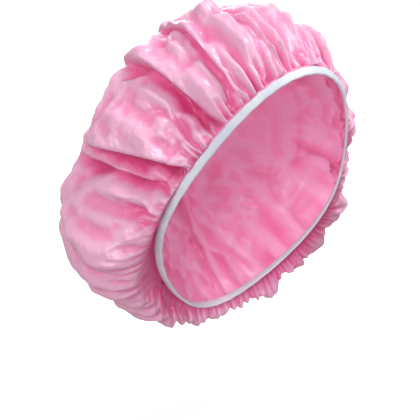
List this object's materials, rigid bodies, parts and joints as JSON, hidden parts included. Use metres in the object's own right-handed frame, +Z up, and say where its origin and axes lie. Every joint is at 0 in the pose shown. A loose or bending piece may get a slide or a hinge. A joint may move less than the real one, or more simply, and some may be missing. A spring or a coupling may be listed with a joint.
{
  "type": "shower cap",
  "caption": "Bouffant shower cap as worn: one round panel of thin film gathered into a narrow elastic binding round a slanting head opening.",
  "frame": {"origin": "middle of the head opening, where the wearer's head goes in", "axes": "+Z up through the crown of a standing wearer's head, -Y the way the face looks, -X to the wearer's right"},
  "size_m": [0.2591, 0.2322, 0.2612],
  "materials": {
    "film": "satin",
    "binding": "matte"
  },
  "bodies": {
    "root": {"film_crown": "film", "elastic_binding": "binding"}
  },
  "joints": []
}
